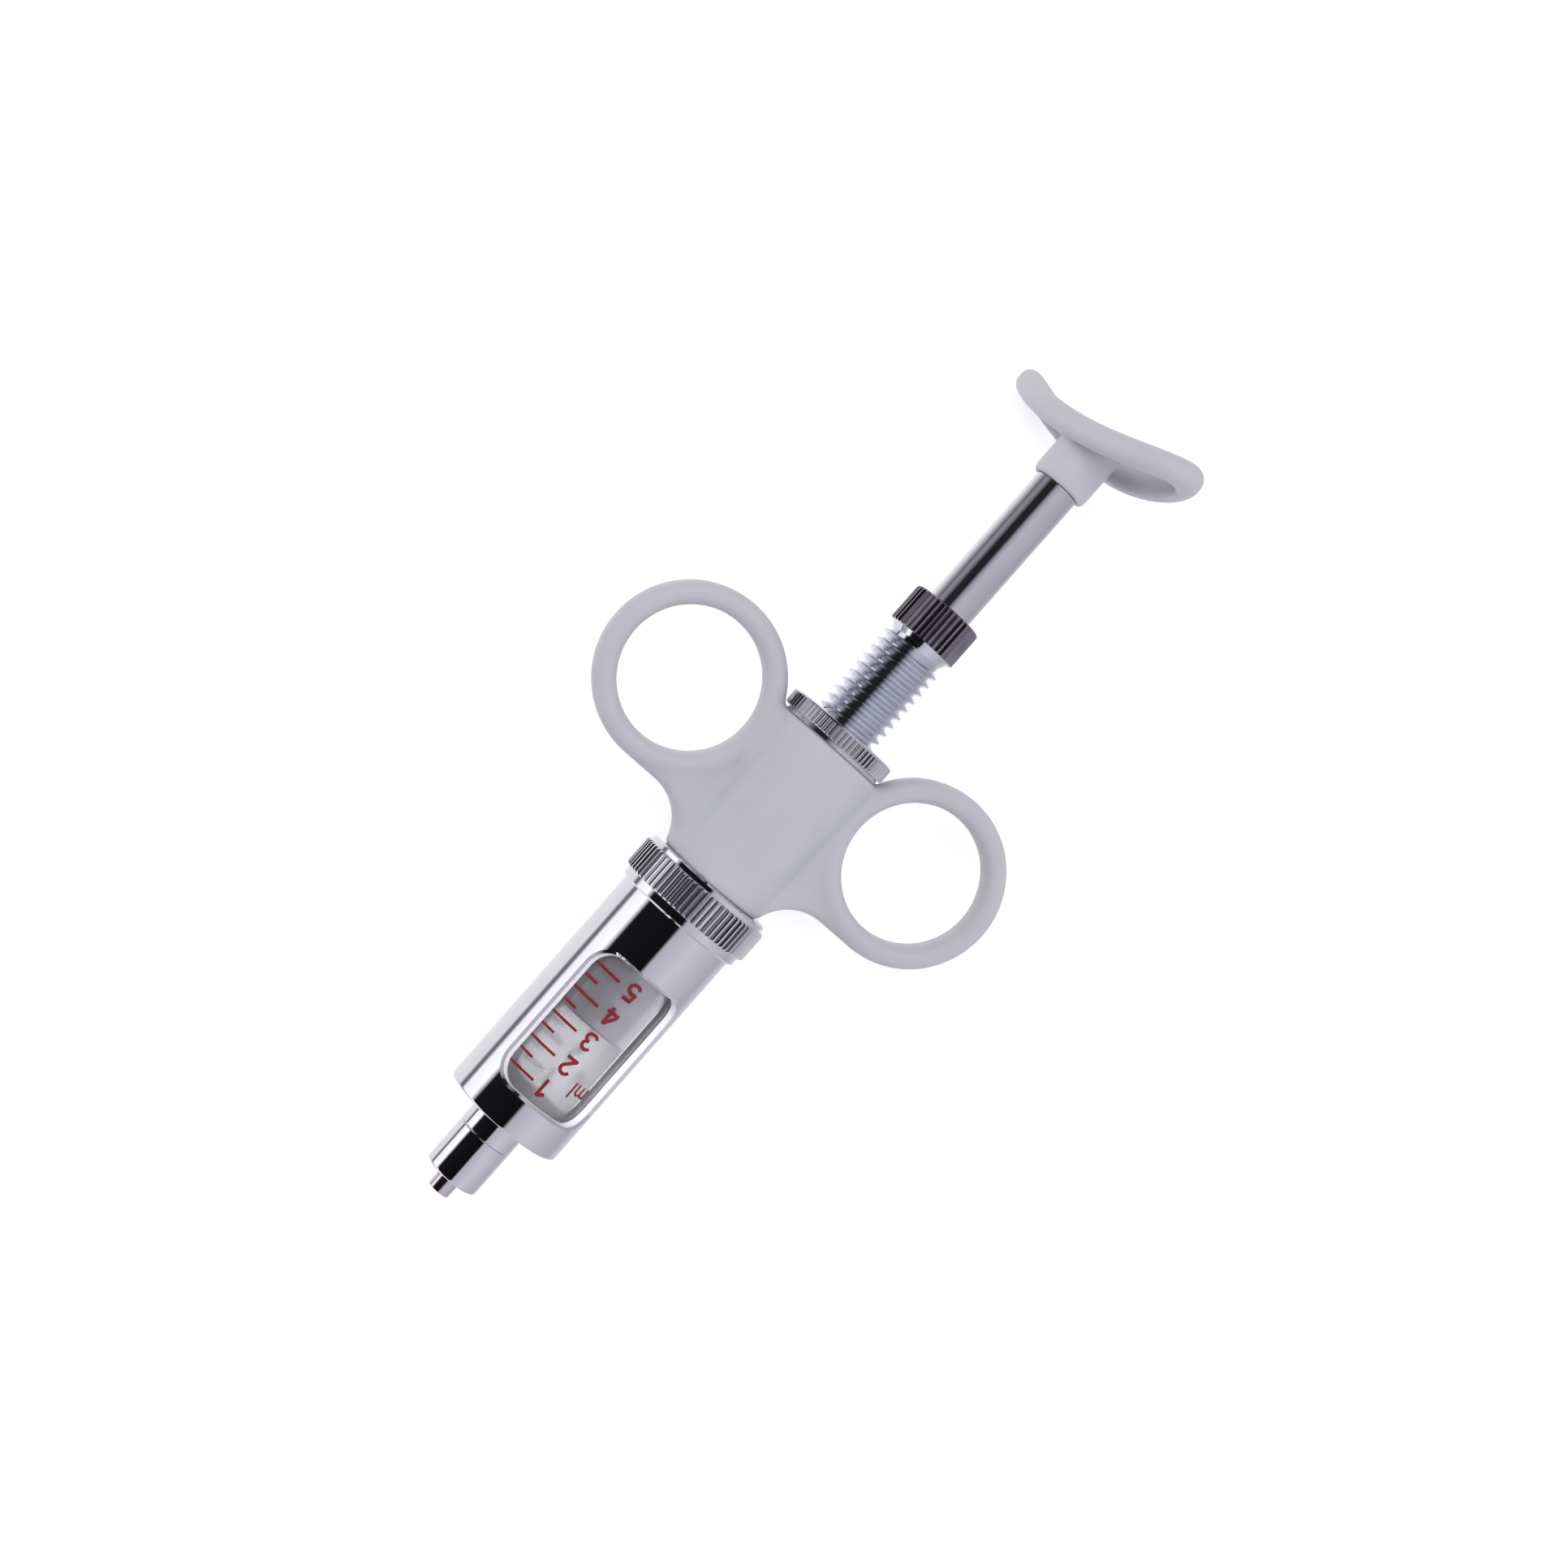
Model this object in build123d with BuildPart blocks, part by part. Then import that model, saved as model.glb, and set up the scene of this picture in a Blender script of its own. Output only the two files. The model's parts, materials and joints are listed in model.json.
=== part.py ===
from build123d import *
import math
import os

# Ring-handled 5 ml dosing syringe. Millimetres, +X from the luer tip to the thumb rest, +Z up,
# origin at the tip of the luer cone. Stations are distances from the tip along the X axis.

# Stations
COLLAR_FRONT = 3.1
COLLAR_REAR = 11.8
SLEEVE_FRONT = 16.1
SLEEVE_FLOOR = 18.3
CHAMBER_FRONT = 19.4
WINDOW_FRONT = 22.3
WINDOW_REAR = 49.3
PISTON_FRONT = 37.4
CAVITY_FRONT = 43.9
CAP_FRONT = 47.3
PISTON_REAR = 51.9
NUT_FRONT = 59.3
GLASS_REAR = 62.0
LINER_FRONT = 62.9
LINER_SHOULDER = 66.2
SLEEVE_REAR = 66.4
HANDLE_FRONT = 67.3
NUT_REAR = 67.6
RING_CENTRE = 90.3
HANDLE_REAR = 97.0
LOCK_NUT_FRONT = 97.9
LOCK_NUT_REAR = 100.8
SCREW_THREAD_START = 76.0
LINER_THREAD_FRONT = 85.0
SCREW_THREAD_END = 118.2
KNOB_FRONT = 119.8
BUSH_FRONT = 121.0
BUSH_REAR = 125.2
KNOB_REAR = 126.7
HUB_FRONT = 153.5
INSERT_REAR = 161.3
SADDLE_LOW = 160.0
SADDLE_TOP = 164.5

# Radii
LUER_TIP_RADIUS = 1.99
LUER_TAPER = 0.03
FLUID_RADIUS = 0.75
SHANK_RADIUS = 3.0
FLANGE_RADIUS = 3.4
COLLAR_RADIUS = 5.0
COLLAR_BORE = 4.0
SLEEVE_RADIUS = 11.0
SLEEVE_BORE = 9.5
GLASS_RADIUS = 9.4
GLASS_BORE = 7.8
FRONT_SEAL_BORE = 5.5
REAR_SEAL_BORE = 8.2
PISTON_RADIUS = 7.77
CAVITY_RADIUS = 6.0
CAP_RADIUS = 6.75
ROD_FLANGE_RADIUS = 5.7
ROD_RADIUS = 4.05
ROD_GUIDE_BORE = 4.1
SPINDLE_BORE = 4.2
LINER_SHOULDER_RADIUS = 8.9
LINER_STEM_RADIUS = 8.0
LINER_BORE = 6.3
NUT_KNURL_RADIUS = 12.5
NUT_FLANGE_RADIUS = 11.75
NUT_EDGE = 0.3
KNOB_RADIUS = 6.5
KNOB_EDGE = 0.6
SPINDLE_TUBE_RADIUS = 4.9
SPINDLE_HUB_RADIUS = 5.2
BUSH_RADIUS = 4.7
LOCK_NUT_RADIUS = 10.35
LOCK_NUT_EDGE = 0.45
LOCK_WASHER_RADIUS = 9.7
HUB_RADIUS = 5.2
STUD_RADIUS = 2.5
INSERT_RADIUS = 3.7

# Clearances
JOINT_GAP = 0.02
SCREW_SEAT_GAP = 0.1
FLANGE_GAP = 0.15
HANDLE_GAP = 0.15
WASHER_GAP = 0.2

# M12 x 1.75 dose thread
PITCH = 1.75
THREAD_CREST = 5.93
THREAD_ROOT = 4.93
NUT_THREAD_CREST = 5.15
CREST_HALF_WIDTH = PITCH / 16
HALF_FLANK = math.tan(math.radians(30))
FLANK_CLEARANCE = 0.15
THREAD_OVERCUT = 0.15
THREAD_ROOTING = 0.1
SCREW_TURNS = 24
LINER_FIRST_TURN = 4
LINER_TURNS = 9
LOCK_NUT_FIRST_TURN = 12
LOCK_NUT_TURNS = 3
BLANK_EXCESS = 3 * PITCH

# Handle
RING_TILT = 12
RING_OFFSET = 24.8
RING_HOLE = 12.0
RING_OUTER = 16.0
RING_THICKNESS = 6.0
BEAD_CORNER = 1.9
WEB_THICKNESS = 4.6
WEB_FOOT = 9.8
WEB_CORNER = 8.5
WEB_EDGE = 1.6
BODY_FRONT_RADIUS = 9.25
BODY_REAR_RADIUS = 10.4

# Knurls: share of the pitch that each groove takes, then each band's groove depth and count
KNURL_SHARE = 0.92
NUT_KNURL_FRONT = 61.0
NUT_KNURL_REAR = 66.5
NUT_KNURL_DEPTH = 0.45
NUT_KNURL_COUNT = 72
LOCK_KNURL_DEPTH = 0.35
LOCK_KNURL_COUNT = 72
KNOB_KNURL_DEPTH = 0.36
KNOB_KNURL_COUNT = 38

# Window: its two sides are radial, at these angles from straight up, one towards +Y and one towards -Y
WINDOW_LEFT = 35
WINDOW_RIGHT = 74
WINDOW_CORNER = 4.2
WINDOW_EDGE = 0.45

# Thumb rest
SADDLE_ANGLE = -46
SADDLE_HALF_LENGTH = 23.2
SADDLE_HALF_WIDTH = 9.0
SADDLE_SAG = 5.1
SADDLE_SKIN = 2.2
SADDLE_RIM = 3.3
SADDLE_EDGE = 2.0
HUB_TOP_SKIN = 1.2
OVAL_EXTRUSION = 25


def tilted_plane(angle):
    """Plane through the syringe's axis, turned about X from the horizontal by angle degrees."""
    turn = math.radians(angle)
    return Plane(origin=(0, 0, 0), x_dir=(1, 0, 0), z_dir=(0, -math.sin(turn), math.cos(turn)))


def ring_section(front, rear, inner, outer):
    """Half section of a plain ring around the X axis."""
    with BuildSketch(Plane.XY) as section:
        with Locations(((front + rear) / 2, (inner + outer) / 2)):
            Rectangle(rear - front, outer - inner)
    return section.sketch


def turned_section(*points):
    """Half section of a turned piece, from its (station, radius) corners."""
    with BuildSketch(Plane.XY) as section:
        with BuildLine():
            Polyline(*points, close=True)
        make_face()
    return section.sketch


def knurl_grooves(front, rear, radius, depth, count):
    """Straight V grooves of a knurled band, as one cutter."""
    half_width = KNURL_SHARE * math.pi * radius / count
    with BuildPart() as cutter:
        with BuildSketch(Plane.YZ.offset(front)):
            with PolarLocations(radius, count):
                Polygon((-depth, 0), (depth / 4, -half_width), (depth / 4, half_width), align=None)
        extrude(amount=rear - front)
    return cutter.part


def helical_ridge(front, length, lead, turn, section):
    """Right-handed ridge around X; section is the (radius, half width) of its low and high edges."""
    (low_radius, low_half), (high_radius, high_half) = section
    with BuildLine() as helix:
        Helix(pitch=lead, height=length, radius=low_radius, center=(front, 0, 0), direction=(1, 0, 0))
    start = helix.line @ 0
    rise = high_radius - low_radius
    with BuildSketch(Plane(origin=start, x_dir=(0, start.Y, start.Z), z_dir=helix.line % 0)) as flanks:
        Polygon((0, -low_half), (rise, -high_half), (rise, high_half), (0, low_half), align=None)
    with BuildPart() as ridge:
        sweep(flanks.sketch, path=helix.line, is_frenet=True)
    return ridge.part.rotate(Axis.X, turn)


def dose_thread(first_turn, turns, low_radius, high_radius, clearance):
    """Turns of the M12 thread, all on one helix, so that screw, liner and lock nut mesh."""
    low_half = CREST_HALF_WIDTH + (THREAD_CREST - low_radius) * HALF_FLANK + clearance
    high_half = CREST_HALF_WIDTH + (THREAD_CREST - high_radius) * HALF_FLANK + clearance
    front = SCREW_THREAD_START + first_turn * PITCH
    return helical_ridge(front, turns * PITCH, PITCH, 0, ((low_radius, low_half), (high_radius, high_half)))


def finish(piece, name):
    """Label a finished piece and write it."""
    piece.part.label = name
    export_step(piece.part, f"parts/{name}.step")
    print(name, round(piece.part.volume, 1))


os.makedirs("parts", exist_ok=True)

# Nozzle: luer cone with a 6 % taper, flange inside the collar, shank in the sleeve's neck
FLANGE_FRONT = 9.2
FLANGE_REAR = 10.4
SHANK_REAR = 17.8
with BuildPart() as nozzle:
    with BuildSketch(Plane.XY):
        with BuildLine():
            Polyline(
                (0, FLUID_RADIUS),
                (0, LUER_TIP_RADIUS),
                (FLANGE_FRONT, LUER_TIP_RADIUS + LUER_TAPER * FLANGE_FRONT),
                (FLANGE_FRONT, FLANGE_RADIUS),
                (FLANGE_REAR, FLANGE_RADIUS),
                (FLANGE_REAR, SHANK_RADIUS),
                (SHANK_REAR, SHANK_RADIUS),
                (SHANK_REAR, FLUID_RADIUS),
                close=True,
            )
        make_face()
    revolve(axis=Axis.X)
    fillet(nozzle.edges().filter_by(GeomType.CIRCLE).group_by(Axis.X)[0], radius=0.18)
    shank_rims = nozzle.edges().filter_by(GeomType.CIRCLE).group_by(Axis.X)[-1]
    chamfer(shank_rims.sort_by(SortBy.LENGTH)[-1], length=0.4)
finish(nozzle, "nozzle")

# Washer under the nozzle's flange
NOZZLE_WASHER_REAR = 10.9
with BuildPart() as nozzle_washer:
    revolve(ring_section(FLANGE_REAR, NOZZLE_WASHER_REAR, SHANK_RADIUS, FLANGE_RADIUS), axis=Axis.X)
finish(nozzle_washer, "nozzle_washer")

# Luer-lock collar with a two-start internal thread of 5 mm lead
LUER_LEAD = 5.0
LUER_RIDGE_FRONT = 4.1
LUER_RIDGE_LENGTH = 3.6
LUER_RIDGE_HEIGHT = 0.45
luer_ridge_section = ((COLLAR_BORE + THREAD_OVERCUT, 0.6), (COLLAR_BORE - LUER_RIDGE_HEIGHT, 0.2))
luer_ridges = [
    helical_ridge(LUER_RIDGE_FRONT, LUER_RIDGE_LENGTH, LUER_LEAD, turn, luer_ridge_section)
    for turn in (0, 180)
]
with BuildPart() as luer_lock_collar:
    with BuildSketch(Plane.XY):
        with BuildLine():
            Polyline(
                (COLLAR_FRONT, COLLAR_BORE),
                (COLLAR_FRONT, COLLAR_RADIUS),
                (COLLAR_REAR, COLLAR_RADIUS),
                (COLLAR_REAR, SHANK_RADIUS),
                (NOZZLE_WASHER_REAR, SHANK_RADIUS),
                (NOZZLE_WASHER_REAR, COLLAR_BORE),
                close=True,
            )
        make_face()
    revolve(axis=Axis.X)
    collar_rims = luer_lock_collar.edges().filter_by(GeomType.CIRCLE).group_by(Axis.X)
    fillet(collar_rims[0].sort_by(SortBy.LENGTH)[-1], radius=0.55)
    chamfer(collar_rims[0].sort_by(SortBy.LENGTH)[0], length=0.3)
    fillet(collar_rims[-1].sort_by(SortBy.LENGTH)[-1], radius=0.2)
    add(luer_ridges)
finish(luer_lock_collar, "luer_lock_collar")

# Barrel sleeve: neck, front wall and tube, with one window
with BuildPart() as window_cutter:
    revolve(
        ring_section(WINDOW_FRONT, WINDOW_REAR, SLEEVE_BORE - 1, SLEEVE_RADIUS + 1),
        axis=Axis.X,
        revolution_arc=WINDOW_LEFT + WINDOW_RIGHT,
    )
    radial_edges = window_cutter.edges().filter_by(GeomType.LINE).group_by(SortBy.LENGTH)[0]
    fillet(radial_edges, radius=WINDOW_CORNER)
with BuildPart() as barrel_sleeve:
    with BuildSketch(Plane.XY):
        with BuildLine():
            Polyline(
                (COLLAR_REAR, SHANK_RADIUS),
                (COLLAR_REAR, COLLAR_RADIUS),
                (SLEEVE_FRONT, COLLAR_RADIUS),
                (SLEEVE_FRONT, SLEEVE_RADIUS),
                (SLEEVE_REAR, SLEEVE_RADIUS),
                (SLEEVE_REAR, SLEEVE_BORE),
                (SLEEVE_FLOOR, SLEEVE_BORE),
                (SLEEVE_FLOOR, SHANK_RADIUS),
                close=True,
            )
        make_face()
    revolve(axis=Axis.X)
    front_rims = barrel_sleeve.edges().filter_by(GeomType.CIRCLE).group_by(Axis.X)
    fillet(front_rims[0].sort_by(SortBy.LENGTH)[-1], radius=0.2)
    fillet(front_rims[1].sort_by(SortBy.LENGTH)[-1], radius=0.5)
    fillet(front_rims[1].sort_by(SortBy.LENGTH)[0], radius=0.3)
    add(window_cutter.part.rotate(Axis.X, 90 - WINDOW_LEFT), mode=Mode.SUBTRACT)
    outer_skin = barrel_sleeve.faces().filter_by(GeomType.CYLINDER).sort_by(SortBy.AREA)[-1]
    chamfer(outer_skin.inner_wires()[0].edges(), length=WINDOW_EDGE)
finish(barrel_sleeve, "barrel_sleeve")

# Front seal between the sleeve's front wall and the glass
with BuildPart() as front_seal:
    revolve(ring_section(SLEEVE_FLOOR, CHAMBER_FRONT, FRONT_SEAL_BORE, GLASS_RADIUS), axis=Axis.X)
finish(front_seal, "front_seal")

# Glass barrel
with BuildPart() as glass_barrel:
    revolve(ring_section(CHAMBER_FRONT, GLASS_REAR, GLASS_BORE, GLASS_RADIUS), axis=Axis.X)
    glass_rims = glass_barrel.edges().filter_by(GeomType.CIRCLE).group_by(Axis.X)[-1]
    chamfer(glass_rims.sort_by(SortBy.LENGTH)[0], length=0.4)
finish(glass_barrel, "glass_barrel")

# Rear seal between the glass and the handle's liner
with BuildPart() as rear_seal:
    revolve(ring_section(GLASS_REAR, LINER_FRONT, REAR_SEAL_BORE, GLASS_RADIUS), axis=Axis.X)
finish(rear_seal, "rear_seal")

# Barrel nut: knurled ring on the sleeve's rear end
nut_knurl = knurl_grooves(
    NUT_KNURL_FRONT - NUT_EDGE,
    NUT_KNURL_REAR + NUT_EDGE,
    NUT_KNURL_RADIUS,
    NUT_KNURL_DEPTH,
    NUT_KNURL_COUNT,
)
with BuildPart() as barrel_nut:
    with BuildSketch(Plane.XY):
        with BuildLine():
            Polyline(
                (NUT_FRONT, SLEEVE_RADIUS),
                (NUT_FRONT, NUT_FLANGE_RADIUS - NUT_EDGE),
                (NUT_FRONT + NUT_EDGE, NUT_FLANGE_RADIUS),
                (NUT_KNURL_FRONT, NUT_FLANGE_RADIUS),
                (NUT_KNURL_FRONT, NUT_KNURL_RADIUS - NUT_EDGE),
                (NUT_KNURL_FRONT + NUT_EDGE, NUT_KNURL_RADIUS),
                (NUT_KNURL_REAR - NUT_EDGE, NUT_KNURL_RADIUS),
                (NUT_KNURL_REAR, NUT_KNURL_RADIUS - NUT_EDGE),
                (NUT_KNURL_REAR, NUT_FLANGE_RADIUS),
                (NUT_REAR - NUT_EDGE, NUT_FLANGE_RADIUS),
                (NUT_REAR, NUT_FLANGE_RADIUS - NUT_EDGE),
                (NUT_REAR, BODY_FRONT_RADIUS + HANDLE_GAP),
                (SLEEVE_REAR, BODY_FRONT_RADIUS + HANDLE_GAP),
                (SLEEVE_REAR, SLEEVE_RADIUS),
                close=True,
            )
        make_face()
    revolve(axis=Axis.X)
    add(nut_knurl, mode=Mode.SUBTRACT)
finish(barrel_nut, "barrel_nut")

# Handle liner: metal tube moulded into the handle, threaded for the dose screw at its rear
cutter_radii = (NUT_THREAD_CREST - THREAD_OVERCUT, THREAD_CREST + THREAD_OVERCUT)
liner_thread = dose_thread(LINER_FIRST_TURN, LINER_TURNS, *cutter_radii, FLANK_CLEARANCE)
with BuildPart() as handle_liner:
    with BuildSketch(Plane.XY):
        with BuildLine():
            Polyline(
                (LINER_FRONT, LINER_BORE),
                (LINER_FRONT, SLEEVE_BORE - JOINT_GAP),
                (LINER_SHOULDER, SLEEVE_BORE - JOINT_GAP),
                (LINER_SHOULDER, LINER_SHOULDER_RADIUS),
                (HANDLE_FRONT, LINER_SHOULDER_RADIUS),
                (HANDLE_FRONT, LINER_STEM_RADIUS),
                (HANDLE_REAR, LINER_STEM_RADIUS),
                (HANDLE_REAR, NUT_THREAD_CREST),
                (LINER_THREAD_FRONT, NUT_THREAD_CREST),
                (LINER_THREAD_FRONT, LINER_BORE),
                close=True,
            )
        make_face()
    revolve(axis=Axis.X)
    add(liner_thread, mode=Mode.SUBTRACT)
finish(handle_liner, "handle_liner")

# Handle: conical body with a finger ring on each side, joined to it by a thinner web
ring_plane = tilted_plane(RING_TILT)
web_low = RING_CENTRE - RING_OUTER
bead_middle = (RING_HOLE + RING_OUTER) / 2
meeting = math.sqrt(RING_OUTER**2 - (HANDLE_REAR - RING_CENTRE) ** 2)
with BuildPart() as handle:
    with BuildSketch(ring_plane.offset(-WEB_THICKNESS / 2)):
        with BuildLine():
            base = Line((web_low - WEB_CORNER, 0), (web_low - WEB_CORNER, WEB_FOOT))
            corner = JernArc(base @ 1, (1, 0), WEB_CORNER, 90)
            side = Line(corner @ 1, (web_low, RING_OFFSET))
            Polyline(
                side @ 1,
                (RING_CENTRE, RING_OFFSET),
                (HANDLE_REAR, RING_OFFSET - meeting),
                (HANDLE_REAR, 0),
            )
            Line((HANDLE_REAR, 0), base @ 0)
        make_face()
        with Locations((RING_CENTRE, RING_OFFSET)):
            Circle(bead_middle)
        mirror(about=Plane.XZ)
        with Locations((RING_CENTRE, RING_OFFSET), (RING_CENTRE, -RING_OFFSET)):
            Circle(RING_HOLE + 1, mode=Mode.SUBTRACT)
    extrude(amount=WEB_THICKNESS)
    flat_edges = handle.edges().filter_by(ring_plane)
    web_edges = flat_edges.filter_by_position(Axis.X, HANDLE_FRONT + 2, web_low + 0.1)
    fillet(web_edges, radius=WEB_EDGE)
    split(bisect_by=Plane.YZ.offset(NUT_REAR + HANDLE_GAP), keep=Keep.TOP)
    for side_sign in (-1, 1):
        bead_plane = Plane(
            origin=ring_plane.from_local_coords((RING_CENTRE, side_sign * RING_OFFSET, 0)),
            x_dir=(1, 0, 0),
            z_dir=ring_plane.y_dir,
        )
        with BuildSketch(bead_plane):
            with Locations((bead_middle, 0)):
                RectangleRounded(RING_OUTER - RING_HOLE, RING_THICKNESS, BEAD_CORNER)
        revolve(axis=Axis(bead_plane.origin, ring_plane.z_dir))
    revolve(
        turned_section(
            (HANDLE_FRONT, 0),
            (HANDLE_FRONT, BODY_FRONT_RADIUS),
            (HANDLE_REAR, BODY_REAR_RADIUS),
            (HANDLE_REAR, 0),
        ),
        axis=Axis.X,
    )
    with BuildSketch(Plane.YZ.offset(HANDLE_FRONT)):
        Circle(LINER_STEM_RADIUS)
    extrude(amount=HANDLE_REAR - HANDLE_FRONT, mode=Mode.SUBTRACT)
finish(handle, "handle")

# Lock washer
with BuildPart() as lock_washer:
    revolve(
        ring_section(HANDLE_REAR, LOCK_NUT_FRONT, THREAD_CREST + WASHER_GAP, LOCK_WASHER_RADIUS),
        axis=Axis.X,
    )
    chamfer(lock_washer.edges().filter_by(GeomType.CIRCLE).sort_by(SortBy.LENGTH)[-2:], length=0.15)
finish(lock_washer, "lock_washer")

# Lock nut: a longer threaded blank, cut down to the nut's two faces
lock_nut_thread = dose_thread(LOCK_NUT_FIRST_TURN, LOCK_NUT_TURNS, *cutter_radii, FLANK_CLEARANCE)
lock_nut_knurl = knurl_grooves(
    LOCK_NUT_FRONT - LOCK_NUT_EDGE,
    LOCK_NUT_REAR - LOCK_NUT_EDGE,
    LOCK_NUT_RADIUS,
    LOCK_KNURL_DEPTH,
    LOCK_KNURL_COUNT,
)
with BuildPart() as lock_nut:
    revolve(
        ring_section(
            LOCK_NUT_FRONT - BLANK_EXCESS,
            LOCK_NUT_REAR + BLANK_EXCESS,
            NUT_THREAD_CREST,
            LOCK_NUT_RADIUS,
        ),
        axis=Axis.X,
    )
    add(lock_nut_thread, mode=Mode.SUBTRACT)
    with BuildSketch(Plane.YZ.offset(LOCK_NUT_FRONT)):
        Circle(LOCK_NUT_RADIUS + 1)
    extrude(amount=LOCK_NUT_REAR - LOCK_NUT_FRONT, mode=Mode.INTERSECT)
    nut_rims = lock_nut.edges().filter_by(GeomType.CIRCLE).sort_by(SortBy.LENGTH)[-2:].sort_by(Axis.X)
    fillet(nut_rims[-1], radius=LOCK_NUT_EDGE)
    chamfer(nut_rims[0], length=0.25)
    add(lock_nut_knurl, mode=Mode.SUBTRACT)
finish(lock_nut, "lock_nut")

# Dose screw: hollow spindle whose front end is the piston's stop
SPINDLE_FRONT = PISTON_REAR + SCREW_SEAT_GAP
screw_thread = dose_thread(0, SCREW_TURNS, THREAD_ROOT - THREAD_ROOTING, THREAD_CREST, 0)
with BuildPart() as dose_screw:
    with BuildSketch(Plane.XY):
        with BuildLine():
            Polyline(
                (SPINDLE_FRONT, SPINDLE_BORE),
                (SPINDLE_FRONT, SPINDLE_TUBE_RADIUS),
                (SCREW_THREAD_START - 1, SPINDLE_TUBE_RADIUS),
                (SCREW_THREAD_START - 1, THREAD_ROOT),
                (SCREW_THREAD_END, THREAD_ROOT),
                (KNOB_FRONT, KNOB_RADIUS - KNOB_EDGE),
                (KNOB_FRONT, SPINDLE_HUB_RADIUS),
                (BUSH_REAR, SPINDLE_HUB_RADIUS),
                (BUSH_REAR, BUSH_RADIUS),
                (BUSH_FRONT, BUSH_RADIUS),
                (BUSH_FRONT, SPINDLE_BORE),
                close=True,
            )
        make_face()
    revolve(axis=Axis.X)
    add(screw_thread)
finish(dose_screw, "dose_screw")

# Guide bush for the rod
with BuildPart() as rod_bush:
    revolve(
        ring_section(
            BUSH_FRONT + JOINT_GAP,
            BUSH_REAR - JOINT_GAP,
            ROD_GUIDE_BORE,
            BUSH_RADIUS - JOINT_GAP,
        ),
        axis=Axis.X,
    )
finish(rod_bush, "rod_bush")

# Dose knob
knob_knurl = knurl_grooves(
    KNOB_FRONT - KNOB_EDGE,
    KNOB_REAR + KNOB_EDGE,
    KNOB_RADIUS,
    KNOB_KNURL_DEPTH,
    KNOB_KNURL_COUNT,
)
with BuildPart() as dose_knob:
    revolve(
        turned_section(
            (KNOB_FRONT, SPINDLE_HUB_RADIUS),
            (KNOB_FRONT, KNOB_RADIUS - 0.2),
            (KNOB_FRONT + 0.2, KNOB_RADIUS),
            (KNOB_REAR, KNOB_RADIUS),
            (KNOB_REAR, SPINDLE_BORE),
            (BUSH_REAR, SPINDLE_BORE),
            (BUSH_REAR, SPINDLE_HUB_RADIUS),
        ),
        axis=Axis.X,
    )
    knob_rims = dose_knob.edges().filter_by(GeomType.CIRCLE).group_by(Axis.X)[-1]
    fillet(knob_rims.sort_by(SortBy.LENGTH)[-1], radius=KNOB_EDGE)
    add(knob_knurl, mode=Mode.SUBTRACT)
finish(dose_knob, "dose_knob")

# Piston body and the ring that is screwed into its rear
with BuildPart() as piston_body:
    with BuildSketch(Plane.XY):
        with BuildLine():
            Polyline(
                (PISTON_FRONT, 0),
                (PISTON_FRONT, PISTON_RADIUS),
                (PISTON_REAR, PISTON_RADIUS),
                (PISTON_REAR, CAP_RADIUS),
                (CAP_FRONT, CAP_RADIUS),
                (CAP_FRONT, CAVITY_RADIUS),
                (CAVITY_FRONT, CAVITY_RADIUS),
                (CAVITY_FRONT, 0),
                close=True,
            )
        make_face()
    revolve(axis=Axis.X)
    fillet(piston_body.edges().filter_by(GeomType.CIRCLE).group_by(Axis.X)[0], radius=0.6)
    piston_rims = piston_body.edges().filter_by(GeomType.CIRCLE).group_by(Axis.X)[-1]
    chamfer(piston_rims.sort_by(SortBy.LENGTH)[-1], length=0.3)
finish(piston_body, "piston_body")

with BuildPart() as piston_cap:
    revolve(ring_section(CAP_FRONT, PISTON_REAR, ROD_GUIDE_BORE, CAP_RADIUS), axis=Axis.X)
finish(piston_cap, "piston_cap")

# Plunger rod: flange held in the piston, and a stud in the thumb rest's insert
STUD_END = INSERT_REAR - 0.8
with BuildPart() as plunger_rod:
    with BuildSketch(Plane.XY):
        with BuildLine():
            Polyline(
                (CAVITY_FRONT + FLANGE_GAP, 0),
                (CAVITY_FRONT + FLANGE_GAP, ROD_FLANGE_RADIUS),
                (CAP_FRONT - FLANGE_GAP, ROD_FLANGE_RADIUS),
                (CAP_FRONT - FLANGE_GAP, ROD_RADIUS),
                (HUB_FRONT, ROD_RADIUS),
                (HUB_FRONT, STUD_RADIUS),
                (STUD_END, STUD_RADIUS),
                (STUD_END, 0),
                close=True,
            )
        make_face()
    revolve(axis=Axis.X)
    chamfer(plunger_rod.edges().filter_by(GeomType.CIRCLE).group_by(Axis.X)[-1], length=0.4)
finish(plunger_rod, "plunger_rod")

# Threaded insert moulded into the thumb rest's hub
with BuildPart() as thumb_rest_insert:
    revolve(
        turned_section(
            (HUB_FRONT, STUD_RADIUS),
            (HUB_FRONT, INSERT_RADIUS),
            (INSERT_REAR, INSERT_RADIUS),
            (INSERT_REAR, 0),
            (STUD_END, 0),
            (STUD_END, STUD_RADIUS),
        ),
        axis=Axis.X,
    )
finish(thumb_rest_insert, "thumb_rest_insert")

# Thumb rest: oval saddle, hollow underneath inside a rounded rim, with a round hub
saddle_plane = tilted_plane(SADDLE_ANGLE)
oval_plane = Plane(origin=(HUB_FRONT, 0, 0), x_dir=saddle_plane.y_dir, z_dir=(1, 0, 0))


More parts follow.
